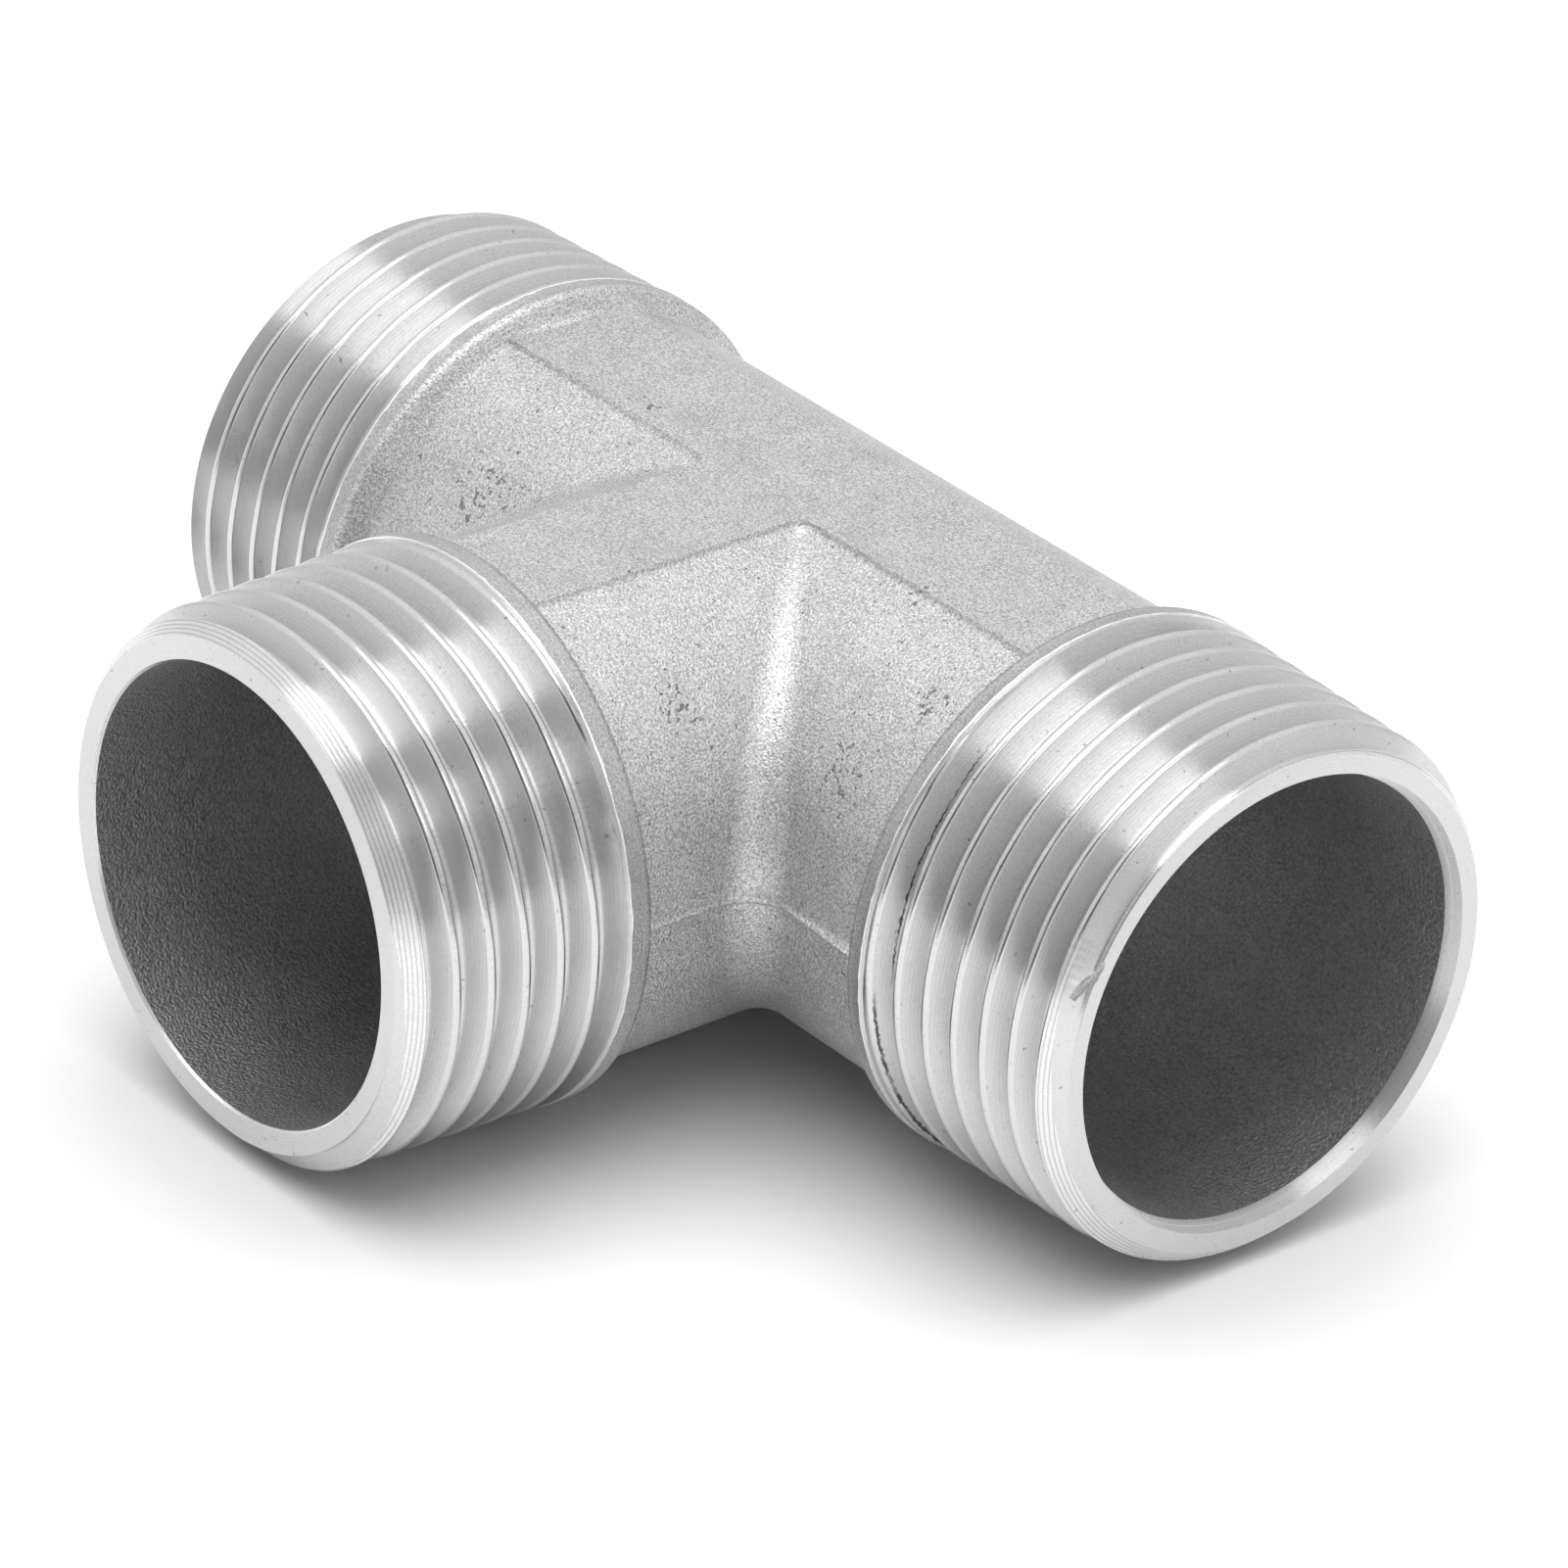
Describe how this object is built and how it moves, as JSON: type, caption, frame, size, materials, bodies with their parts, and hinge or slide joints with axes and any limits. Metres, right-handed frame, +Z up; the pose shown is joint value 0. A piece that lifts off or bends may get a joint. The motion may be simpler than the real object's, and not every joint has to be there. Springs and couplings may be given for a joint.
{
  "type": "male threaded pipe tee",
  "caption": "Cast stainless steel pipe tee with a straight run, a square branch and an outside taper thread on every end.",
  "frame": {"origin": "middle of the footprint of the whole fitting, on the surface that its three collars lie on", "axes": "+X along the run, with the longer arm at +X; the branch points along -Y; +Z up, at right angles to the flat pads"},
  "size_m": [0.08, 0.0568, 0.0333],
  "materials": {
    "stainless": "satin blasted casting with bright turned threads"
  },
  "bodies": {
    "root": {"tee_body": "stainless"}
  },
  "joints": []
}
